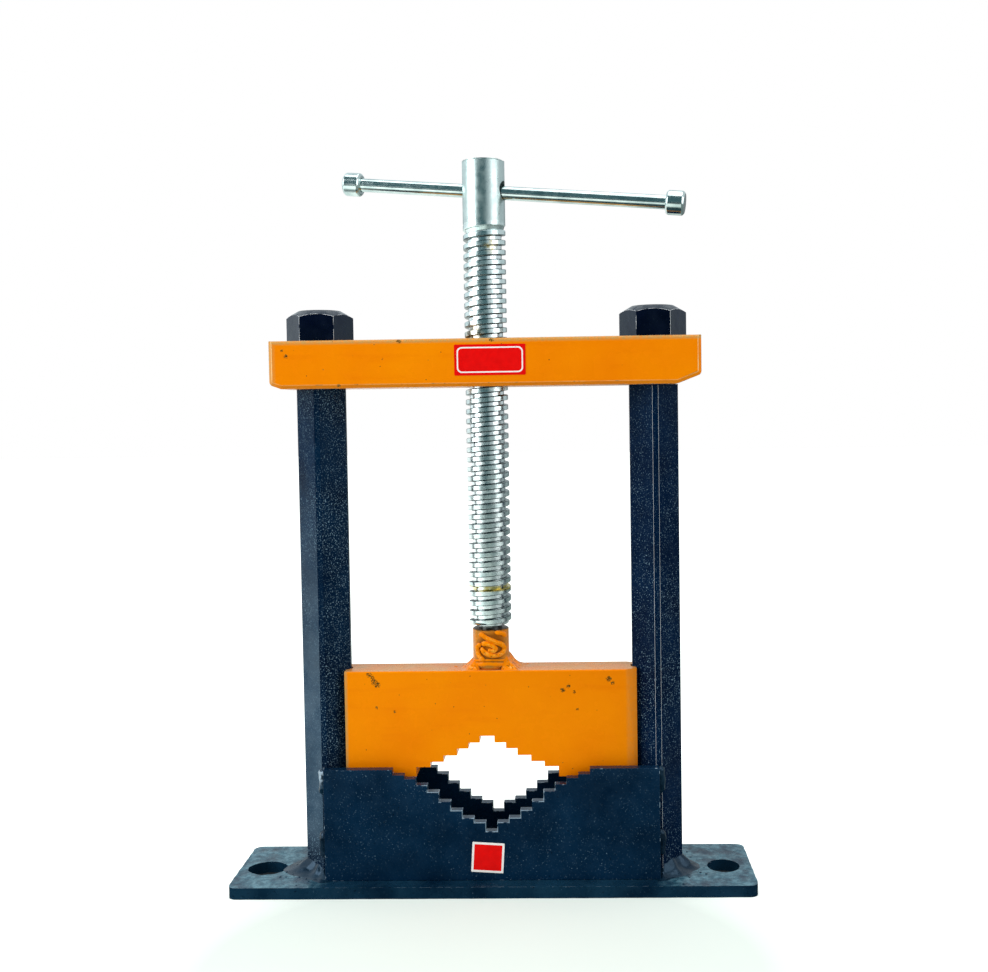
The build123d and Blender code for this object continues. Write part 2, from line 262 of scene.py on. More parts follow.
class Nodes:
    """A node tree whose nodes are added and linked by short calls."""

    def __init__(self, tree, place):
        self.tree = tree
        self.place = self.add("ShaderNodeTexCoord").outputs[place]

    def put(self, socket, value):
        if isinstance(value, bpy.types.NodeSocket):
            self.tree.links.new(value, socket)
        else:
            socket.default_value = value

    def add(self, kind, inputs=None, **settings):
        node = self.tree.nodes.new(kind)
        for key, value in settings.items():
            setattr(node, key, value)
        for key, value in (inputs or {}).items():
            self.put(node.inputs[key], value)
        return node

    def math(self, operation, a, b=0.0):
        return self.add("ShaderNodeMath", {0: a, 1: b}, operation=operation).outputs[0]

    def both(self, a, b):
        return self.math("MULTIPLY", a, b)

    def either(self, a, b):
        return self.math("MAXIMUM", a, b)

    def mix(self, factor, a, b):
        node = self.add("ShaderNodeMix", {0: factor, 6: a, 7: b}, data_type="RGBA")
        return node.outputs[2]

    def axes(self):
        return self.add("ShaderNodeSeparateXYZ", {0: self.place}).outputs

    def stretch(self, scale):
        """The coordinates, drawn out or squeezed along each axis."""
        return self.add("ShaderNodeMapping", {"Vector": self.place, "Scale": scale}).outputs[0]

    def noise(self, scale, detail, roughness=0.5, place=None):
        sockets = {
            "Vector": place or self.place, "Scale": scale, "Detail": detail, "Roughness": roughness,
        }
        return self.add("ShaderNodeTexNoise", sockets).outputs[0]

    def remap(self, value, start, end, to_start=0.0, to_end=1.0):
        sockets = {0: value, 1: start, 2: end, 3: to_start, 4: to_end}
        return self.add("ShaderNodeMapRange", sockets, clamp=True).outputs[0]

    def cloud(self, scale, detail, start, end, to_start=0.0, to_end=1.0, roughness=0.5):
        """Noise whose levels from start to end are spread from one value to another."""
        return self.remap(self.noise(scale, detail, roughness), start, end, to_start, to_end)

    def facing(self, direction, start, end):
        """1 where the surface itself faces along a direction, by the cosine between them."""
        normal = self.add("ShaderNodeNewGeometry").outputs["True Normal"]
        return self.remap(self.vector("DOT_PRODUCT", "Value", normal, direction), start, end)

    def vector(self, operation, output, *values):
        node = self.add("ShaderNodeVectorMath", dict(enumerate(values)), operation=operation)
        return node.outputs[output]

    def distance(self, point, squash):
        """The distance from a point, with each axis squashed or left out."""
        offset = self.vector("SUBTRACT", "Vector", self.place, point)
        return self.vector("LENGTH", "Value", self.vector("MULTIPLY", "Vector", offset, squash))

    def reach(self):
        """The distance from the screw's axis."""
        return self.distance((0, 0, 0), (1, 1, 0))

    def near(self, point, inner, outer, squash=(1, 1, 1)):
        """1 within the inner distance of a point, falling to 0 at the outer one."""
        return self.remap(self.distance(point, squash), inner, outer, 1.0, 0.0)


class Shader(Nodes):
    """A material with one principled surface."""

    def __init__(self, name, **sockets):
        self.material = bpy.data.materials.new(name)
        self.material.use_nodes = True
        super().__init__(self.material.node_tree, "Object")
        self.surface = self.tree.nodes["Principled BSDF"]
        for socket, value in sockets.items():
            self.surface.inputs[socket.replace("_", " ")].default_value = value

    def bump(self, height, distance, below=None):
        sockets = {"Height": height, "Distance": distance, "Strength": 1.0}
        if below is not None:
            sockets["Normal"] = below
        return self.add("ShaderNodeBump", sockets).outputs[0]

    def edges(self):
        """1 on the rounded strips along sharp edges and 0 elsewhere."""
        return self.add("ShaderNodeAttribute", attribute_name="edge").outputs["Fac"]

    def finish(self, color=None, roughness=None, normal=None):
        links = {"Base Color": color, "Roughness": roughness, "Normal": normal}
        for socket, value in links.items():
            if value is not None:
                self.put(self.surface.inputs[socket], value)
        return self.material


def rgb(red, green, blue):
    """A linear colour for a socket from the 0 to 255 values of a screen."""
    return tuple((v / 255) ** 2.2 for v in (red, green, blue)) + (1.0,)


def dust_and_sheen_on_ends(m, color):
    """A pale dusting with a painted sheen on the top of the base, thinner between the posts."""
    between = m.near((0, 0, 0), 84 * MM, 100 * MM, (1, 0, 0))
    dust_and_sheen = m.both(m.facing((0, 0, 1), 0.8, 0.98), m.cloud(110, 5, 0.35, 0.56, roughness=0.6))
    dust_and_sheen = m.both(dust_and_sheen, m.remap(between, 0.0, 1.0, 1.0, 0.03))
    dust_and_sheen_tone = m.mix(m.cloud(420, 3, 0.4, 0.6), rgb(46, 86, 102), rgb(88, 128, 142))
    return m.mix(dust_and_sheen, color, dust_and_sheen_tone)


def painted_left_face_sheen(m, color):
    """A painted sheen: a paler left face on the post, which fades towards its top and stops above the weld.
    """
    height = m.axes()["Z"]
    low = m.both(m.facing((-0.707, -0.707, 0), 0.9, 0.98), m.remap(height, 220 * MM, 80 * MM))
    low = m.both(low, m.remap(height, 12 * MM, 30 * MM))
    sheen_tone = m.mix(m.cloud(60, 3, 0.4, 0.6), rgb(58, 82, 102), rgb(84, 106, 124))
    return m.mix(m.both(low, 0.6), color, sheen_tone)


def painted_tack_highlight(m, color):
    """A painted highlight: a bright spot on the upper left tack of the front plate."""
    tack_low, tack_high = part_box("front_plate_tacks")
    tack_highlight = m.near((tack_low.x, tack_low.y, tack_high.z - 3 * MM), 3 * MM, 6 * MM)
    return m.mix(m.both(tack_highlight, m.cloud(260, 2, 0.42, 0.50)), color, rgb(150, 168, 184))


def make_navy_paint(name, dark, light, gloss, glint_level, wave, worn_level, rub_and_shading_tone, treatment):
    """Gloss enamel over rough bar: fine grain with painted glints and pits, waves, and rubbed edges painted
    as highlights (as shade lines on the left post).
    """
    m = Shader(name, IOR=1.5, Specular_IOR_Level=gloss, Specular_Tint=rgb(170, 215, 255))
    color = m.mix(m.cloud(45, 4, 0.3, 0.7), rgb(*dark), rgb(*light))
    grain = m.noise(1500, 2, 0.6)
    # Painted glints: pale specks of grain that stand in for glints of light on the rough bar, fewer high on
    # the right post and weaker on the plate and left post
    glinting = m.cloud(26, 3, 0.36, 0.60, 0.25, 0.9)
    if treatment == "right post":
        glinting = m.both(glinting, m.remap(m.axes()["Z"], 250 * MM, 150 * MM, 0.3, 0.85))
    if treatment in ("plate", "left post"):
        glinting = m.both(glinting, 0.7)
    glint = m.both(m.remap(grain, glint_level, glint_level + 0.09), glinting)
    color = m.mix(glint, color, rgb(138, 170, 190))
    pit = m.cloud(800, 2, 0.36, 0.26)
    color = m.mix(m.both(pit, 0.6), color, rgb(0, 8, 20))
    extra = {"base": dust_and_sheen_on_ends, "left post": painted_left_face_sheen, "weld": painted_tack_highlight}.get(treatment)
    if extra:
        color = extra(m, color)
    wear = m.noise(300, 4)
    if treatment == "plate":
        notch = m.near((0, 0, high("front_jaw_plate").z), 30 * MM, 42 * MM, (1, 0, 1))
        wear = m.math("ADD", wear, m.both(notch, 0.16))
    # Rubbed edges whose tone is a painted highlight along them, and a painted shade line on the left post
    rubbed = m.both(m.edges(), m.remap(wear, worn_level, worn_level + 0.08, 0.0, 0.95))
    color = m.mix(rubbed, color, rgb(*rub_and_shading_tone))
    roughness = m.cloud(180, 4, 0.3, 0.7, 0.18, 0.36)
    normal = m.bump(m.noise(110, 4, 0.55), wave * MM)
    normal = m.bump(grain, 0.015 * MM, normal)
    return m.finish(color, roughness, normal)


def orange_chips(m):
    """1 where the paint is off: small specks all over, and ragged chips at their places."""
    cells = m.add("ShaderNodeTexVoronoi", {"Vector": m.place, "Scale": 230}).outputs["Distance"]
    specks = m.both(m.remap(cells, 0.075, 0.045), m.cloud(60, 2, 0.52, 0.56))
    spots = 0.0
    for node, chips in CHIPS.items():
        low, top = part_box(node)
        for across, down, size in chips:
            x = (low.x if across > 0 else top.x) + across * MM
            z = (top.z if down > 0 else low.z) - down * MM
            spots = m.either(spots, m.near((x, low.y, z), 0.15 * size * MM, size * MM))
    ragged = m.both(spots, m.cloud(1300, 5, 0.40, 0.58, roughness=0.7))
    return m.either(specks, m.remap(ragged, 0.30, 0.40))


def orange_edge_highlights(m):
    """1 on the strips with a painted highlight: the crossbar's long edges and left end, and the jaw's two
    ends.
    """
    bar_low, bar_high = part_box("crossbar")
    jaw_low, jaw_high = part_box("upper_jaw")
    x, z = m.axes()["X"], m.axes()["Z"]
    top = m.remap(z, bar_high.z - 2.5 * MM, bar_high.z - 1.3 * MM)
    bottom = m.both(m.remap(z, bar_low.z + 1.9 * MM, bar_low.z + 1.2 * MM), 0.12)
    left = m.remap(x, bar_low.x + 4.0 * MM, bar_low.x + 0.6 * MM)
    on_bar = m.remap(z, bar_low.z - 6 * MM, bar_low.z - 5 * MM)
    bar = m.both(on_bar, m.either(m.either(top, bottom), left))
    jaw_left = m.remap(x, jaw_low.x + 1.8 * MM, jaw_low.x + 0.6 * MM)
    jaw_right = m.both(m.remap(x, jaw_high.x - 6.2 * MM, jaw_high.x - 4.8 * MM), 0.22)
    on_jaw = m.remap(z, jaw_high.z + 0.1 * MM, jaw_high.z)
    return m.either(bar, m.both(on_jaw, m.either(jaw_left, jaw_right)))


def boss_tones(m, color):
    """A duller boss with a darker band at its top, and painted shade in the hollows and painted highlights
    on the crowns and spatter of its welds.
    """
    boss_top, jaw_top = high("jaw_boss").z, high("upper_jaw").z
    radius = high("jaw_boss").x
    height, reach = m.axes()["Z"], m.reach()

    # The boss itself, but not the crossbar above it
    on_boss = m.near((0, 0, boss_top), 9.8 * MM, 10.2 * MM, (1, 1, 0))
    on_boss = m.both(on_boss, m.remap(height, jaw_top, jaw_top + MM))
    on_boss = m.both(on_boss, m.remap(height, boss_top + 40 * MM, boss_top + 30 * MM))
    dull = m.both(on_boss, m.cloud(240, 3, 0.35, 0.62, 0.4, 0.95))
    color = m.mix(dull, color, rgb(178, 124, 56))

    # The coiled weld over the pin, with painted shade in its hollows and a painted highlight on its crowns
    coil = m.near((0.6 * MM, -radius, boss_top - 9 * MM), 6.5 * MM, 9 * MM)
    painted_hollow_shade = m.both(coil, m.remap(reach, radius + 0.9 * MM, radius + 0.1 * MM))
    color = m.mix(m.both(painted_hollow_shade, 0.75), color, rgb(124, 66, 16))
    painted_crown_highlight = m.both(coil, m.remap(reach, radius + 1.1 * MM, radius + 1.7 * MM))
    painted_crown_highlight = m.both(painted_crown_highlight, m.cloud(700, 3, 0.50, 0.60))
    color = m.mix(m.both(painted_crown_highlight, 0.5), color, rgb(252, 182, 66))

    # The welds at the boss's foot: dark pits, and pale specks that paint a highlight on the spatter
    foot = m.near((0, 0, jaw_top + 2 * MM), 15 * MM, 20 * MM, (1, 1, 1.6))
    foot = m.both(foot, m.remap(height, jaw_top + 0.1 * MM, jaw_top + 0.5 * MM))
    foot = m.both(foot, m.remap(reach, radius + 0.9 * MM, radius + 1.6 * MM))
    pits = m.both(foot, m.cloud(620, 4, 0.46, 0.40, roughness=0.6))
    color = m.mix(m.both(pits, 0.75), color, rgb(140, 84, 26))
    drops = m.both(foot, m.cloud(900, 3, 0.56, 0.64))
    color = m.mix(m.both(drops, 0.7), color, rgb(250, 192, 100))

    # A darker band at the boss's top edge
    dark_top_band = m.both(m.remap(height, boss_top - 0.7 * MM, boss_top - 0.1 * MM), on_boss)
    dark_top_band = m.both(dark_top_band, m.cloud(500, 3, 0.3, 0.5, 0.6, 0.97))
    return m.mix(dark_top_band, color, rgb(46, 42, 34))


def make_orange_paint():
    """Thick orange enamel with brush waves, a dusting with painted sheen, chips, painted edge highlights,
    rubbed edges, and a boss with painted shade and highlights.
    """
    m = Shader("paint_orange", IOR=1.5, Specular_IOR_Level=0.28, Specular_Tint=rgb(255, 176, 90))
    color = m.mix(m.cloud(28, 4, 0.3, 0.7), rgb(240, 126, 0), rgb(247, 138, 1))
    streak = m.remap(m.noise(130, 3, place=m.stretch((0.25, 1, 1.6))), 0.58, 0.78)
    color = m.mix(m.both(streak, 0.35), color, rgb(230, 112, 0))
    # Painted highlights on the strips along the edges and ends
    edge_highlights = m.both(orange_edge_highlights(m), m.cloud(520, 4, 0.36, 0.58, 0.5, 1.0, roughness=0.6))
    color = m.mix(edge_highlights, color, rgb(194, 148, 84))
    # A pale dusting with a painted sheen on the faces that look up
    dust_and_sheen = m.both(m.facing((0, 0, 1), 0.8, 0.98), m.cloud(110, 4, 0.36, 0.62, 0.45, 0.9))
    color = m.mix(dust_and_sheen, color, rgb(214, 158, 96))
    color = boss_tones(m, color)

    bare = orange_chips(m)
    primer = m.mix(m.cloud(1200, 3, 0.44, 0.56), rgb(40, 24, 12), rgb(122, 96, 40))
    color = m.mix(bare, color, primer)

    # Edges: rubbed through in places, more so at the crossbar's ends, and with a painted highlight between
    # these
    bar_low, bar_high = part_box("crossbar")
    between = m.near((0, 0, 0), bar_high.x - 1.6 * MM, bar_high.x - 0.9 * MM, (1, 0, 0))
    wear = m.math("ADD", m.noise(420, 4), m.both(m.remap(between, 1.0, 0.0), 0.14))
    rubbed = m.both(m.edges(), m.remap(wear, 0.60, 0.66, 0.0, 0.8))
    color = m.mix(rubbed, color, rgb(92, 60, 26))
    upper = m.remap(m.axes()["Z"], bar_low.z + 4 * MM, bar_low.z + 8 * MM, 0.4, 1.0)
    pale = m.both(m.both(m.edges(), upper), m.cloud(90, 3, 0.36, 0.56, 0.5, 0.95))
    color = m.mix(m.both(pale, between), color, rgb(240, 196, 132))

    roughness = m.either(m.cloud(160, 3, 0.3, 0.7, 0.18, 0.34), m.both(bare, 0.6))
    normal = m.bump(m.noise(60, 3), 0.20 * MM)
    normal = m.bump(m.noise(420, 2), 0.02 * MM, normal)
    normal = m.bump(m.both(bare, -1.0), 0.12 * MM, normal)
    return m.finish(color, roughness, normal)


def thread_dirt(m, color):
    """Old grease on the thread: two pale smears, an amber ring low down and dark specks."""
    top = high("screw").z
    worm = m.cloud(520, 4, 0.44, 0.56, roughness=0.7)
    smear = m.near((4 * MM, -10 * MM, top - SMEAR_DOWN), 2.2 * MM, 5.0 * MM, (1, 0.6, 0.9))
    smear = m.both(smear, m.cloud(400, 3, 0.42, 0.52))
    color = m.mix(m.both(smear, 0.85), color, m.mix(worm, rgb(176, 158, 96), rgb(232, 228, 206)))
    patch = m.near((-6 * MM, -9 * MM, top - PATCH_DOWN), 4.0 * MM, 6.5 * MM, (1, 0.6, 0.9))
    color = m.mix(m.both(patch, 0.9), color, m.mix(worm, rgb(104, 94, 70), rgb(234, 230, 216)))
    ring = m.near((0, 0, top - RING_DOWN), 0.9 * MM, 1.6 * MM, (0, 0, 1))
    ring = m.both(ring, m.cloud(200, 2, 0.32, 0.42))
    color = m.mix(m.both(ring, 0.85), color, rgb(190, 170, 70))
    specks = m.cloud(900, 3, 0.66, 0.74, roughness=0.6)
    return m.mix(m.both(specks, 0.7), color, rgb(84, 100, 104))


def make_zinc_steel():
    """Bright zinc with a cold tint, turning marks, painted shade on the flanks and on the neck, and old
    grease.
    """
    m = Shader("steel_zinc", Metallic=1.0)
    crest, top = high("screw").x, high("screw").z
    height = m.axes()["Z"]
    color = m.mix(m.cloud(90, 4, 0.35, 0.65), rgb(212, 228, 227), rgb(232, 242, 240))
    veil = m.cloud(260, 4, 0.50, 0.70, roughness=0.6)
    color = m.mix(m.both(veil, 0.45), color, rgb(158, 190, 194))
    root = m.remap(m.reach(), crest - THREAD_DEPTH + 0.35 * MM, crest - THREAD_DEPTH + 0.1 * MM)
    color = m.mix(m.both(root, 0.9), color, rgb(238, 246, 246))
    # Painted shade on the strips beside the flanks, on the thread only
    flank_shade = m.both(m.edges(), m.cloud(240, 3, 0.32, 0.52, 0.70, 0.97))
    on_thread = m.remap(height, top - THREAD_SHADE_ENDS[0], top - THREAD_SHADE_ENDS[1], 1.0, 0.0)
    color = m.mix(m.both(flank_shade, on_thread), color, rgb(30, 48, 54))
    head = m.remap(height, top - HEAD_COLOR_ENDS[0], top - HEAD_COLOR_ENDS[1], 0.0, 0.85)
    color = m.mix(head, color, rgb(186, 202, 200))
    color = thread_dirt(m, color)
    # Painted shade on the neck, in the gap between the boss and the thread
    thread_bottom = high("jaw_boss").z + THREAD_ABOVE_BOSS
    neck = m.remap(height, thread_bottom + 0.2 * MM, thread_bottom - 0.1 * MM, 0.0, 0.9)
    color = m.mix(neck, color, rgb(40, 40, 38))
    roughness = m.math("ADD", m.cloud(300, 3, 0.3, 0.7, 0.18, 0.34), m.both(head, 0.09))
    turning_marks = m.noise(1.0, 2, place=m.stretch((60, 60, 5200)))
    normal = m.bump(turning_marks, 0.008 * MM)
    normal = m.bump(m.noise(500, 3), 0.02 * MM, normal)
    return m.finish(color, roughness, normal)


def make_bright_steel():
    """Drawn steel of the handle with faint rust-dark specks."""
    m = Shader("steel_bright", Metallic=1.0)
    color = m.mix(m.cloud(120, 4, 0.35, 0.65), rgb(176, 192, 192), rgb(212, 224, 222))
    specks = m.cloud(1000, 3, 0.64, 0.74, roughness=0.6)
    color = m.mix(m.both(specks, 0.45), color, rgb(92, 102, 104))
    roughness = m.cloud(400, 3, 0.3, 0.7, 0.10, 0.22)
    return m.finish(color, roughness, m.bump(m.noise(700, 2), 0.015 * MM))


def make_label(name, light, dark):
    """Printed vinyl with slight clouding."""
    m = Shader(name, IOR=1.45, Specular_IOR_Level=0.15)
    color = m.mix(m.cloud(300, 3, 0.35, 0.65), light, dark)
    return m.finish(color, m.cloud(220, 2, 0.3, 0.7, 0.28, 0.40))


# Pieces


def link(name, mesh, materials, body, replaced=()):
    """A piece from a mesh, riding on a body."""
    piece = new_object(name, mesh)
    for material in materials:
        mesh.materials.append(material)
    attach(piece, body)
    if replaced:
        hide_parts(*replaced)


def link_bead(bm, node, material, body):
    """The lumpy piece that takes the place of a node of weld."""
    mesh = mesh_from(bm, node + "_bead")
    link(mesh.name, shade_smooth(mesh), [material], body, (node,))


def shade_smooth(mesh):
    """Smooth but for the sharp edges."""
    for polygon in mesh.polygons:
        polygon.use_smooth = True
    mesh.set_sharp_from_angle(angle=SHARP_ANGLE)
    return mesh


def mesh_from(bm, name):
    mesh = bpy.data.meshes.new(name)
    bm.to_mesh(mesh)
    bm.free()
    return mesh


def evaluated(mesh, add_modifiers):
    """The mesh with modifiers applied. The function gets the object that takes them."""
    blank = new_object("blank", mesh)
    add_modifiers(blank)
    bpy.context.view_layer.update()
    result = bpy.data.meshes.new_from_object(blank.evaluated_get(bpy.context.evaluated_depsgraph_get()))
    bpy.data.objects.remove(blank)
    return result


def clean_copy(node):
    """The node's mesh with its doubled corners joined and its flat faces made whole.

    Long faces with small corners are cut again across X, so that they hold no sliver triangles.
    """
    bm = bmesh.new()
    bm.from_mesh(NODES[node].data)
    bmesh.ops.remove_doubles(bm, verts=bm.verts, dist=JOIN_DISTANCE)
    bmesh.ops.dissolve_limit(
        bm, angle_limit=FLAT_ANGLE, verts=bm.verts, edges=bm.edges, use_dissolve_boundaries=False
    )
    for x in LONG_FACE_CUTS.get(node, ()):
        geometry = bm.verts[:] + bm.edges[:] + bm.faces[:]
        bmesh.ops.bisect_plane(
            bm, geom=geometry, dist=CUT_TOLERANCE, plane_co=(x * MM, 0, 0), plane_no=(1, 0, 0)
        )
    mesh = mesh_from(bm, node + "_copy")
    if "custom_normal" in mesh.attributes:
        mesh.attributes.remove(mesh.attributes["custom_normal"])
    return mesh


def eased(mesh, bevel):
    """The mesh with its sharp edges rounded, and an attribute that is 1 on the rounded strips."""
    def add_bevel(blank):
        ease = blank.modifiers.new("ease", "BEVEL")
        ease.width = bevel
        ease.segments = 2
        ease.limit_method = "ANGLE"
        ease.angle_limit = SHARP_ANGLE
        ease.harden_normals = True
        ease.material = 1

    shade_smooth(mesh)
    for _ in range(2):
        mesh.materials.append(None)
    result = evaluated(mesh, add_bevel)
    strips = [float(polygon.material_index) for polygon in result.polygons]
    result.attributes.new("edge", "FLOAT", "FACE").data.foreach_set("value", strips)
    for polygon in result.polygons:
        polygon.material_index = 0
    result.materials.clear()
    return result


def add_strip(bm, first, second, index=0):
    """Faces between two rings of corners, with the index of a material."""
    for i in range(len(first)):
        j = (i + 1) % len(first)
        bm.faces.new((first[i], first[j], second[j], second[i])).material_index = index


def close_tube(bm, rings):
    """Faces between rings of corners, and one face over each end."""
    for first, second in zip(rings, rings[1:]):
        add_strip(bm, first, second)
    bm.faces.new(list(reversed(rings[0])))
    bm.faces.new(rings[-1])


def lathe(points):
    """A closed turned form from (radius, height) points, from the bottom up."""
    bm = bmesh.new()
    rings = []
    for radius, height in points:
        rings.append([bm.verts.new(polar(turn, radius, height)) for turn in full_turn(ROUND_COLUMNS)])
    close_tube(bm, rings)
    return bm


def helix_grid(rows, radius_at):
    """A skin of helical rows, whose strips with painted shade are marked by an attribute.

    Each row gives its height at angle 0, its share of the thread's depth and its painted shade.
    """
    bm = bmesh.new()
    shaded_strips = bm.faces.layers.float.new("edge")
    grid = []
    for height, depth_share, _ in rows:
        line = []
        for i, turn in enumerate(full_turn(THREAD_COLUMNS)):
            z = height + THREAD_PITCH * i / THREAD_COLUMNS
            line.append(bm.verts.new(polar(turn, radius_at(z, depth_share), z)))
        grid.append(line)
    period = len(THREAD_PROFILE)
    for k in range(len(grid) - 1):
        flank_shade = float(rows[k][2])
        for i in range(THREAD_COLUMNS - 1):
            face = bm.faces.new((grid[k][i], grid[k][i + 1], grid[k + 1][i + 1], grid[k + 1][i]))
            face[shaded_strips] = flank_shade
        if k + 1 + period < len(grid):
            first, second = grid[k + period][0], grid[k + 1 + period][0]
            bm.faces.new((grid[k][-1], first, second, grid[k + 1][-1]))[shaded_strips] = flank_shade
    return bm


def thread_rows(start, end):
    """Rows of thread from below start to above end, a pitch more at either side."""
    rows = []
    turns = math.ceil((end - start) / THREAD_PITCH) + 3
    for turn in range(turns):
        for share, depth_share, flank_shade in THREAD_PROFILE:
            rows.append((start + (turn - 2 + share) * THREAD_PITCH, depth_share, flank_shade))
    return rows


def cut_level(bm, height, keep_above):
    """Cut the skin at a level and close it there with one face."""
    geometry = bm.verts[:] + bm.edges[:] + bm.faces[:]
    bmesh.ops.bisect_plane(
        bm, geom=geometry, dist=CUT_TOLERANCE, plane_co=(0, 0, height), plane_no=Z_AXIS,
        clear_inner=keep_above, clear_outer=not keep_above,
    )
    bmesh.ops.remove_doubles(bm, verts=bm.verts, dist=LEVEL_TOLERANCE)
    rim = [
        edge for edge in bm.edges
        if edge.is_boundary and all(abs(v.co.z - height) < LEVEL_TOLERANCE for v in edge.verts)
    ]
    return bmesh.ops.holes_fill(bm, edges=rim, sides=0)["faces"]


def cut_out(mesh, cutter_mesh):
    """The mesh with the cutter's form cut out of it."""
    cutter = new_object("cutter", cutter_mesh)

    def add_cut(blank):
        cut = blank.modifiers.new("cut", "BOOLEAN")
        cut.object = cutter
        cut.operation = "DIFFERENCE"
        cut.solver = "EXACT"

    result = evaluated(mesh, add_cut)
    bpy.data.objects.remove(cutter)
    return result


def make_screw(material):
    """The threaded screw with its drilled head, and its neck."""
    lowest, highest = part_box("screw")
    radius = highest.x
    thread_bottom = high("jaw_boss").z + THREAD_ABOVE_BOSS
    thread_top = thread_bottom + THREAD_TURNS * THREAD_PITCH + THREAD_INTO_HEAD

    def radius_at(z, depth_share):
        fade = min(1.0, max(0.0, (thread_top - z) / THREAD_RUN_OUT))
        crest = min(radius, radius - THREAD_END_CHAMFER + max(0.0, z - thread_bottom))
        return min(crest, radius - THREAD_DEPTH * depth_share * fade)

    bm = helix_grid(thread_rows(thread_bottom, highest.z), radius_at)
    cut_level(bm, thread_bottom, True)
    top_faces = cut_level(bm, highest.z, False)
    rim = [edge for face in top_faces for edge in face.edges]
    bmesh.ops.bevel(bm, geom=rim, offset=SCREW_RIM_BEVEL, segments=3, affect="EDGES")
    bmesh.ops.recalc_face_normals(bm, faces=bm.faces)
    hole = lathe(((HANDLE_HOLE_RADIUS, -2 * radius), (HANDLE_HOLE_RADIUS, 2 * radius)))
    turn = Matrix.Rotation(HANDLE_TURN, 4, "Z") @ Matrix.Rotation(math.radians(90), 4, "Y")
    hole.transform(Matrix.Translation((0, 0, highest.z - HANDLE_BELOW_TOP)) @ turn)
    drilled = cut_out(mesh_from(bm, "screw_thread"), mesh_from(hole, "cross_hole"))
    link("screw_dressed", shade_smooth(drilled), [material], "screw", ("screw",))
    neck = mesh_from(lathe(neck_points(lowest.z, thread_bottom)), "screw_neck")
    link("screw_neck", shade_smooth(neck), [material], "screw")


def neck_points(bottom, top):
    """The plain neck below the thread, with the groove that the pin keeps."""
    pin_low, pin_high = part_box("swivel_pin")
    groove_bottom, groove_top = pin_low.z - NECK_GROOVE_SPARE, pin_high.z + NECK_GROOVE_SPARE
    return [
        (NECK_RADIUS, bottom), (NECK_RADIUS, groove_bottom), (NECK_GROOVE_RADIUS, groove_bottom),
        (NECK_GROOVE_RADIUS, groove_top), (NECK_RADIUS, groove_top), (NECK_RADIUS, top + NECK_INTO_THREAD),
    ]


def rounded_loop(width, height, corner, steps):
    """Corners of a rounded rectangle round its middle."""
    points = []
    for quarter in range(4):
        middle_x = (width / 2 - corner) * (1 if quarter in (0, 3) else -1)
        middle_y = (height / 2 - corner) * (1 if quarter in (0, 1) else -1)
        for step in range(steps + 1):
            turn = math.pi / 2 * (quarter + step / steps)
            points.append((middle_x + corner * math.cos(turn), middle_y + corner * math.sin(turn)))
    return points


def base_outline(low, top):
    """The plate's outline in plan: rounded corners, uneven sides and more uneven ends."""
    width, depth = top.x - low.x, top.y - low.y
    middle = (low + top) / 2
    loop = rounded_loop(width, depth, BASE_CORNER, BASE_CORNER_STEPS)
    corners = [Vector((middle.x + x, middle.y + y, 0)) for x, y in loop]
    outline = []
    for here, after in zip(corners, corners[1:] + corners[:1]):
        count = max(1, int((after - here).length / BASE_OUTLINE_STEP))
        for k in range(count):
            point = here.lerp(after, k / count)
            sunk = BASE_UNEVENNESS * (0.5 + 0.5 * noise.noise(point * 140))
            shift = Vector((0, 0, 0))
            if abs(point.x - middle.x) > width / 2 - BASE_ROUGH_END:
                sunk += 1.2 * BASE_UNEVENNESS * abs(noise.noise(point * 320))
                shift.x = math.copysign(sunk, point.x - middle.x)
            shift.y = math.copysign(sunk, point.y - middle.y)
            outline.append(point - shift)
    return outline


def hole_outline(centre, tear):
    """Corners of a round hole. A torn one is nowhere smaller, and widest towards its two sides."""
    points = []
    for turn in full_turn(96 if tear else 64):
        way = polar(turn)
        torn = tear * (0.85 * way.x ** 4 + 0.25 + 0.25 * noise.noise(way * 2.2))
        torn += 0.12 * tear * noise.noise(way * 6)
        points.append(centre + way * (BASE_HOLE_RADIUS + max(0.0, torn)))
    return points


def prism(points, bottom, top):
    """A closed form from corners in plan, between two levels."""
    bm = bmesh.new()
    rings = [[bm.verts.new((p.x, p.y, z)) for p in points] for z in (bottom, top)]
    close_tube(bm, rings)
    return bm


def make_base(material):
    """The base plate with a drilled hole at the right and a torn one at the left."""
    low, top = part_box("base_plate")
    body = mesh_from(prism(base_outline(low, top), low.z, top.z), "base")
    hole_x = top.x - BASE_HOLE_MARGIN
    for x, tear in ((hole_x, 0.0), (-hole_x, BASE_TEAR)):
        hole = prism(hole_outline(Vector((x, 0, 0)), tear), low.z - MM, top.z + MM)
        body = cut_out(body, mesh_from(hole, "hole"))
    link("base_plate_dressed", eased(body, BASE_BEVEL), [material], "frame", ("base_plate",))


def make_tacks(node, material):
    """The node's tacks with the lumps of a hand weld."""
    def add_remesh(blank):
        remesh = blank.modifiers.new("remesh", "REMESH")
        remesh.mode = "VOXEL"
        remesh.voxel_size = TACK_VOXEL

    bm = bmesh.new()
    bm.from_mesh(evaluated(clean_copy(node), add_remesh))
    for _ in range(3):
        bmesh.ops.smooth_vert(
            bm, verts=bm.verts, factor=0.5, use_axis_x=True, use_axis_y=True, use_axis_z=True
        )
    bm.normal_update()
    for v in bm.verts:
        rough = noise.noise(v.co * 170) + 0.3 * noise.noise(v.co * 420)
        v.co += v.normal * (TACK_LUMP * rough + TACK_SWELL)
    link_bead(bm, node, material, "frame")


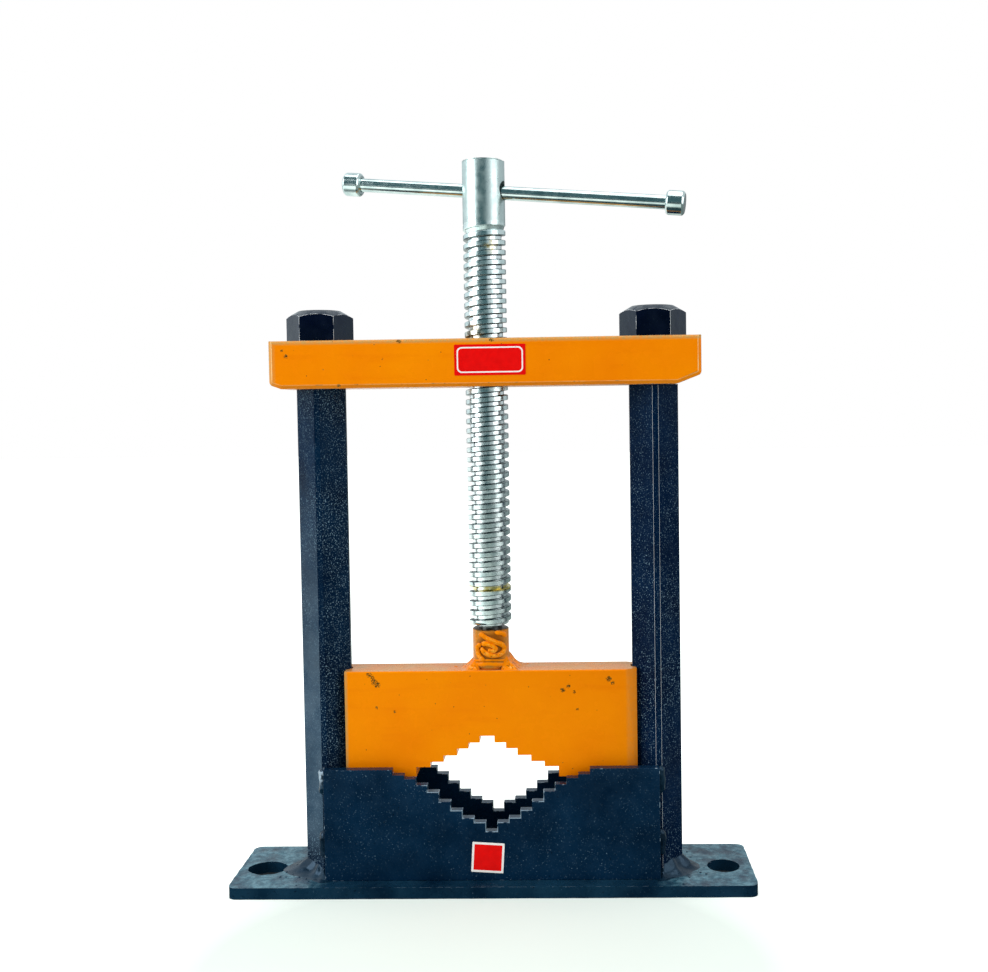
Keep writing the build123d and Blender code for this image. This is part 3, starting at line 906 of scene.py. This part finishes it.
def skirt(centre, facing, span, root, leg, rise, lump, seed):
    """A concave fillet of weld round an upright piece, over a span of turns about one direction.

    The root is the piece's own reach in a direction, the leg how far the weld runs out on
    the plate, and the rise how high it climbs.
    """
    bm = bmesh.new()
    rings = []
    for i in range(SKIRT_COLUMNS + 1):
        share = 2 * i / SKIRT_COLUMNS - 1
        turn = facing + share * span
        way = polar(turn)
        ends = math.sqrt(max(0.0, 1 - abs(share) ** 5))
        wave = 1 + 0.22 * noise.noise(way * 3.0 + Vector((0, 0, seed)))
        reach, climb = leg(turn) * wave + SKIRT_SUNK_IN, rise * ends * wave
        inner = root(turn) - SKIRT_SUNK_IN
        ring = [centre + way * inner - Z_AXIS * SKIRT_SUNK_UNDER]
        for k in range(SKIRT_STEPS + 1):
            out = k / SKIRT_STEPS
            height = climb * (1 - out) ** 1.7
            point = centre + way * (inner + reach * out) + Z_AXIS * height
            rough = noise.noise(point * 190 + Vector((seed, 0, 0))) + 0.4 * noise.noise(point * 460)
            fade = math.sin(math.pi * min(1.0, 0.15 + 0.85 * out))
            ring.append(point + (way * 0.5 + Z_AXIS) * (lump * rough * fade))
        ring.append(centre + way * (inner + reach) - Z_AXIS * SKIRT_SUNK_UNDER)
        rings.append([bm.verts.new(p) for p in ring])
    close_tube(bm, rings)
    bmesh.ops.recalc_face_normals(bm, faces=bm.faces)
    return bm


def add_drop(bm, place, size):
    """A drop of spatter, half sunk in what it lies on."""
    made = bmesh.ops.create_icosphere(bm, subdivisions=2, radius=size)
    for v in made["verts"]:
        v.co = place + Vector((v.co.x, v.co.y, 0.6 * v.co.z)) * (1 + 0.2 * noise.noise(v.co * 2500 + place))


def post_root(turn):
    c, s = abs(math.cos(turn)), abs(math.sin(turn))
    return min(POST_REACH / (c + s), POST_FLAT_REACH / max(c, s))


def make_foot_welds(material):
    """The large blobs of weld at the outer feet of the posts, with drops of spatter about them."""
    drops = random.Random(7)
    base_top = high("base_plate")
    for side, facing, rise, toe in FOOT_WELDS:
        post_low, post_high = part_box("post_" + side)
        centre = Vector(((post_low.x + post_high.x) / 2, 0, base_top.z))

        def leg(turn):
            outward = max(0.0, math.cos(turn - facing))
            return (FOOT_LEG + toe * outward ** 4) * MM

        bm = skirt(centre, facing, FOOT_SPAN, post_root, leg, rise * MM, FOOT_LUMP, rise)
        for _ in range(FOOT_DROPS):
            turn = facing + drops.uniform(-1.5, 1.5)
            reach = post_root(turn) + drops.uniform(6, 17) * MM
            size = drops.uniform(0.25, 0.7) * MM
            spot = centre + polar(turn) * reach
            if abs(spot.y) < 24 * MM and abs(spot.x) < base_top.x - BASE_EDGE_KEPT:
                add_drop(bm, spot, size)
        link_bead(bm, "post_weld_" + side, material, "frame")


def make_boss_welds(material):
    """The fillets at either side of the boss, held back to the jaw's top face."""
    boss_low, boss_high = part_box("jaw_boss")
    radius = boss_high.x
    edge = high("upper_jaw").y - JAW_EDGE_KEPT
    centre = Vector((0, 0, boss_low.z))
    drops = random.Random(3)
    for side, facing, rise, leg_length in BOSS_WELDS:

        def leg(turn):
            room = edge / max(abs(math.sin(turn)), LEAST_DIVISOR) - radius
            return min(leg_length * MM, max(BOSS_LEAST_LEG, room))

        bm = skirt(centre, facing, BOSS_SPAN, lambda turn: radius, leg, rise * MM, BOSS_LUMP, rise)
        for _ in range(BOSS_DROPS):
            turn = facing + drops.uniform(-0.9, 0.9)
            reach = radius + drops.uniform(4, 11) * MM
            spot = centre + polar(turn) * reach
            if abs(spot.y) < edge:
                add_drop(bm, spot, drops.uniform(0.25, 0.6) * MM)
        link_bead(bm, "boss_weld_" + side, material, "jaw")


def smooth_path(points, steps):
    """Points of a rounded path through the given ones."""
    path = []
    padded = [2 * points[0] - points[1]] + list(points) + [2 * points[-1] - points[-2]]
    for a, b, c, d in zip(padded, padded[1:], padded[2:], padded[3:]):
        for k in range(steps):
            t = k / steps
            path.append(0.5 * (2 * b + (c - a) * t + (2 * a - 5 * b + 4 * c - d) * t ** 2
                               + (3 * b - 3 * c + d - a) * t ** 3))
    path.append(points[-1])
    return path


def add_bead(bm, path, radius, seed, lump):
    """A lumpy bead with rounded ends, along a path on an upright round piece."""
    rings = []
    count = len(path)
    for k, point in enumerate(path):
        ahead = (path[min(k + 1, count - 1)] - path[max(k - 1, 0)]).normalized()
        out = Vector((point.x, point.y, 0)).normalized()
        side = ahead.cross(out).normalized()
        end = min(k, count - 1 - k) / 4
        taper = math.sqrt(max(0.04, 1 - (1 - min(1.0, end)) ** 2))
        ring = []
        for turn in full_turn(BEAD_SIDES):
            way = side * math.cos(turn) + out * math.sin(turn)
            rough = 1 + lump * noise.noise(point * 420 + way * 0.8 + Vector((seed, seed, seed)))
            ring.append(bm.verts.new(point + way * radius * taper * rough))
        rings.append(ring)
    close_tube(bm, rings)


def make_swirl(material):
    """The coiled weld over the pin on the front of the boss, and the runs of weld under it."""
    boss_low, boss_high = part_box("jaw_boss")
    radius = boss_high.x

    def on_boss(x, down, out=SWIRL_ABOVE_BOSS):
        reach = radius + out
        return Vector((x, -math.sqrt(max(0.0, reach ** 2 - x ** 2)), boss_high.z - down))

    bm = bmesh.new()
    pad = []
    for ring in range(PAD_RINGS + 1):
        share = ring / PAD_RINGS
        corners = []
        for turn in full_turn(PAD_COLUMNS):
            x = (PAD_MIDDLE[0] + PAD_HALF[0] * share * math.cos(turn)) * MM
            down = (PAD_MIDDLE[1] + PAD_HALF[1] * share * math.sin(turn)) * MM
            corners.append(bm.verts.new(on_boss(x, down, (0.35 - 0.85 * share ** 2) * MM)))
        pad.append(corners)
    close_tube(bm, pad)
    for seed, strand in enumerate(SWIRL_STRANDS):
        path = smooth_path([on_boss(x * MM, down * MM) for x, down in strand], 7)
        add_bead(bm, path, SWIRL_RADIUS, seed, SWIRL_LUMP)
    for level, thickness, sunk, seed in UNDER_RUNS:
        run = []
        for k in range(RUN_STEPS + 1):
            turn = math.radians(-162 + 144 * k / RUN_STEPS)
            reach = radius - sunk * MM
            up = boss_low.z + (level + 0.35 * math.sin(3 * turn)) * MM
            run.append(polar(turn, reach, up))
        add_bead(bm, run, thickness * MM, seed, RUN_LUMP)
    bmesh.ops.recalc_face_normals(bm, faces=bm.faces)
    swirl = mesh_from(bm, "pin_weld_swirl")
    link("pin_weld_swirl", shade_smooth(swirl), [material], "jaw", ("pin_weld",))


def make_sticker(name, node, across, up, tilt, size, bands, materials):
    """A thin sticker on the front of a node."""
    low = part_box(node)[0]
    centre = Vector((across * MM, low.y, low.z + up * MM))
    width, height = size
    bm = bmesh.new()
    loops = []
    for inset, corner, _ in bands:
        outline = rounded_loop(width - 2 * inset, height - 2 * inset, corner, STICKER_CORNER_STEPS)
        loops.append([bm.verts.new((x * MM, -STICKER_THICKNESS * MM, z * MM)) for x, z in outline])
    outline = rounded_loop(width, height, bands[0][1], STICKER_CORNER_STEPS)
    back = [bm.verts.new((x * MM, 0, z * MM)) for x, z in outline]
    stack = [back] + loops
    indices = [bands[0][2]] + [band[2] for band in bands]
    for outer, inner, index in zip(stack, stack[1:], indices):
        add_strip(bm, outer, inner, index)
    bm.faces.new(loops[-1]).material_index = bands[-1][2]
    bm.faces.new(list(reversed(back)))
    bmesh.ops.recalc_face_normals(bm, faces=bm.faces)
    bm.transform(Matrix.Translation(centre) @ Matrix.Rotation(math.radians(tilt), 4, "Y"))
    link(name, shade_smooth(mesh_from(bm, name)), materials, "frame")


def make_pieces():
    """Every piece, with its material."""
    paints = {name: make_navy_paint(name, *values) for name, values in NAVY_PAINTS.items()}
    paints["paint_orange"] = make_orange_paint()
    paints["steel_bright"] = make_bright_steel()
    make_base(paints["paint_navy_base"])
    for body, paint, bevel, nodes in DRESSED:
        for node in nodes:
            link(node + "_dressed", eased(clean_copy(node), bevel * MM), [paints[paint]], body, (node,))
    NODES["swivel_pin"].material_slots[0].material = paints["steel_bright"]
    weld, orange = paints["paint_navy_weld"], paints["paint_orange"]
    for node in ("front_plate_tacks", "rear_plate_tacks"):
        make_tacks(node, weld)
    make_foot_welds(weld)
    make_boss_welds(orange)
    make_screw(make_zinc_steel())
    make_swirl(orange)
    red = make_label("label_red", rgb(236, 8, 6), rgb(224, 3, 3))
    white = make_label("label_white", rgb(248, 246, 244), rgb(238, 236, 234))
    for name, values in STICKERS.items():
        make_sticker(name, *values, [red, white])


# Studio


def make_floor():
    """A pale floor that keeps the shadow near the object and is white further off, with painted shade:
    nearly black under the base, and dimmer near the object besides its real shadow.

    To gloss it is dark just before the object, as under a viewer who leans over it, dark again
    in the distance behind the viewer, and dimmer at the right than at the left.
    """
    m = Shader("floor", Roughness=0.9)
    across = m.axes()["X"]
    pale = m.mix(m.cloud(3, 2, 0.3, 0.7), (0.57, 0.67, 0.61, 1), (0.61, 0.70, 0.65, 1))
    base_low, base_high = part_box("base_plate")
    half = (base_high - base_low) / 2
    middle = (0, base_low.y + half.y, 0)
    # Painted shade: nearly black where the base plate covers the floor
    painted_shade_under_base = m.both(
        m.near(middle, 0.96, 1.0, (1 / half.x, 0, 0)), m.near(middle, 0.92, 0.97, (0, 1 / half.y, 0))
    )
    m.finish(m.mix(painted_shade_under_base, pale, (0.01, 0.015, 0.02, 1)))

    # White to the camera, but glowing less near the object, a painted shade besides its real shadow, and
    # not at all under the base
    path = m.add("ShaderNodeLightPath").outputs
    close = m.near((0, -0.10, 0), 0.10, 0.18, (0.8, 1, 1))
    to_camera = m.both(path["Is Camera Ray"], m.remap(close, 0.0, 1.0, 1.0, 0.24))
    to_camera = m.both(to_camera, m.remap(painted_shade_under_base, 0.0, 1.0, 1.0, 0.0))
    to_gloss = m.both(path["Is Glossy Ray"], m.remap(across, -0.5, 0.2, 0.9, 0.05))
    glow = m.add("ShaderNodeEmission", {"Strength": m.math("ADD", to_camera, to_gloss)})
    lit = m.add("ShaderNodeAddShader", {0: m.surface.outputs[0], 1: glow.outputs[0]})

    # The dark places that gloss sees
    shade = m.add("ShaderNodeEmission", {"Color": rgb(150, 200, 212), "Strength": 0.14})
    leaning = m.near((0, -0.11, 0), 0.14, 0.24, (0.5, 1, 1))
    distance = m.near((-0.7, -3.6, 0), 0.92, 1.05, (1 / 1.4, 1 / 2.8, 0))
    right = m.both(m.remap(across, 0.10, 0.35), 0.7)
    dim = m.both(path["Is Glossy Ray"], m.either(m.either(leaning, distance), right))
    surface = m.add("ShaderNodeMixShader", {0: dim, 1: lit.outputs[0], 2: shade.outputs[0]})
    m.put(m.tree.nodes["Material Output"].inputs["Surface"], surface.outputs[0])

    mesh = bpy.data.meshes.new("floor")
    corners = [(x * FLOOR_REACH, y * FLOOR_REACH, 0) for x, y in ((-1, -1), (1, -1), (1, 1), (-1, 1))]
    mesh.from_pydata(corners, [], [(0, 1, 2, 3)])
    mesh.materials.append(m.material)
    floor = new_object("floor", mesh)


def make_world():
    """White to the camera. To metal and gloss a bright room, dark at the viewer, grey low behind."""
    world = bpy.data.worlds.new("studio")
    world.use_nodes = True
    world.cycles.sampling_method = "NONE"
    SCENE.world = world
    n = Nodes(world.node_tree, "Generated")
    x, y, z = (n.axes()[name] for name in "XYZ")
    viewer = n.near((-0.19, 0, 0.30), 0.88, 1.15, (1 / 0.515, 0, 1 / 0.75))
    viewer = n.both(viewer, n.remap(y, 0.1, -0.1))
    behind = n.both(n.near((0, 0, 0), 0.50, 0.66, (1, 0, 0)), n.remap(z, 0.17, 0.21, 1.0, 0.0))
    behind = n.both(behind, n.remap(y, 0.0, 0.2))
    room = n.both(n.remap(x, -0.3, 0.6, 1.0, 0.72), n.remap(behind, 0.0, 1.0, 1.0, 0.30))
    room = n.both(room, n.remap(viewer, 0.0, 1.0, 1.0, 0.25))
    room_color = n.mix(viewer, (0.86, 0.96, 1, 1), rgb(142, 202, 214))
    path = n.add("ShaderNodeLightPath").outputs
    lit = n.add("ShaderNodeMix", {0: path["Is Glossy Ray"], 2: 0.52, 3: room}).outputs[0]
    seen = n.add("ShaderNodeMix", {0: path["Is Camera Ray"], 2: lit, 3: 1.0}).outputs[0]
    background = n.tree.nodes["Background"]
    n.put(background.inputs["Color"], n.mix(path["Is Glossy Ray"], (1, 1, 1, 1), room_color))
    n.put(background.inputs["Strength"], seen)


def make_lamps():
    for name, place, size, power in LAMPS:
        data = bpy.data.lights.new(name, "AREA")
        data.shape = "RECTANGLE"
        data.size, data.size_y = size
        data.energy = power
        lamp = new_object(name, data)
        aim = (LAMP_TARGET - Vector(place)).to_track_quat("-Z", "Y")
        lamp.matrix_world = Matrix.Translation(place) @ aim.to_matrix().to_4x4()


make_camera()
make_floor()
make_world()
make_lamps()
make_pieces()
SCENE.view_settings.view_transform = "Standard"
